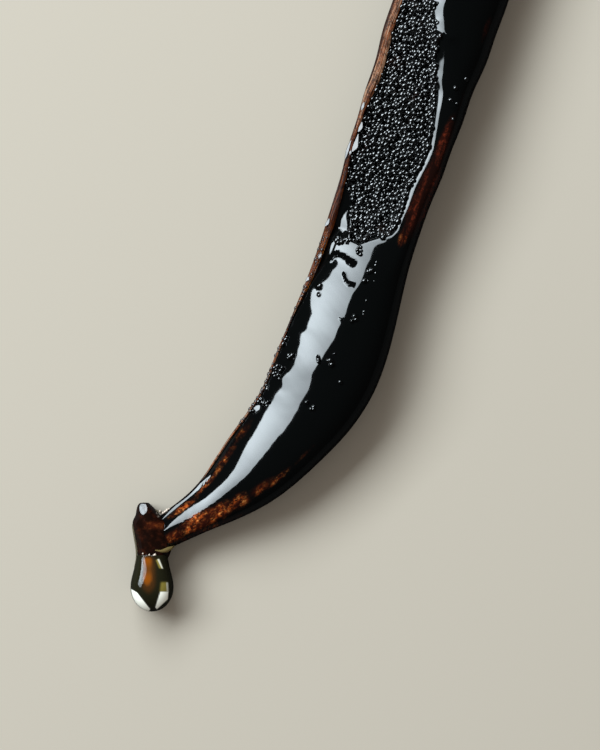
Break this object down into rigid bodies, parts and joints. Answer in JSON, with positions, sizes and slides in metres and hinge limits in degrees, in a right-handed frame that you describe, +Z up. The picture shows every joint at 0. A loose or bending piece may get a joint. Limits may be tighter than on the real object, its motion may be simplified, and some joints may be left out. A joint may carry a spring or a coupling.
{
  "type": "vanilla pod",
  "caption": "Split vanilla pod lying cut side up, with a bed of tiny seeds, thick dark syrup over the stalk half and a hanging amber drop at its hooked end.",
  "frame": {"origin": "middle of the whole piece seen from above, on the surface it lies on", "axes": "+X along the pod from its hooked stalk end to its blossom end, +Z up, out of the cut side"},
  "size_m": [0.123, 0.0115, 0.0047],
  "materials": {
    "pod_skin": "dark red-brown leathery pod wall, oily and wet, fibrous along the cut rim",
    "seeds": "glossy black seeds wet with syrup",
    "dark_syrup": "mirror-smooth thick near-black syrup",
    "amber_syrup": "clear amber syrup"
  },
  "bodies": {
    "root": {"husk": "pod_skin", "seed_bed": "seeds", "syrup": "dark_syrup", "drop": "amber_syrup"}
  },
  "joints": []
}
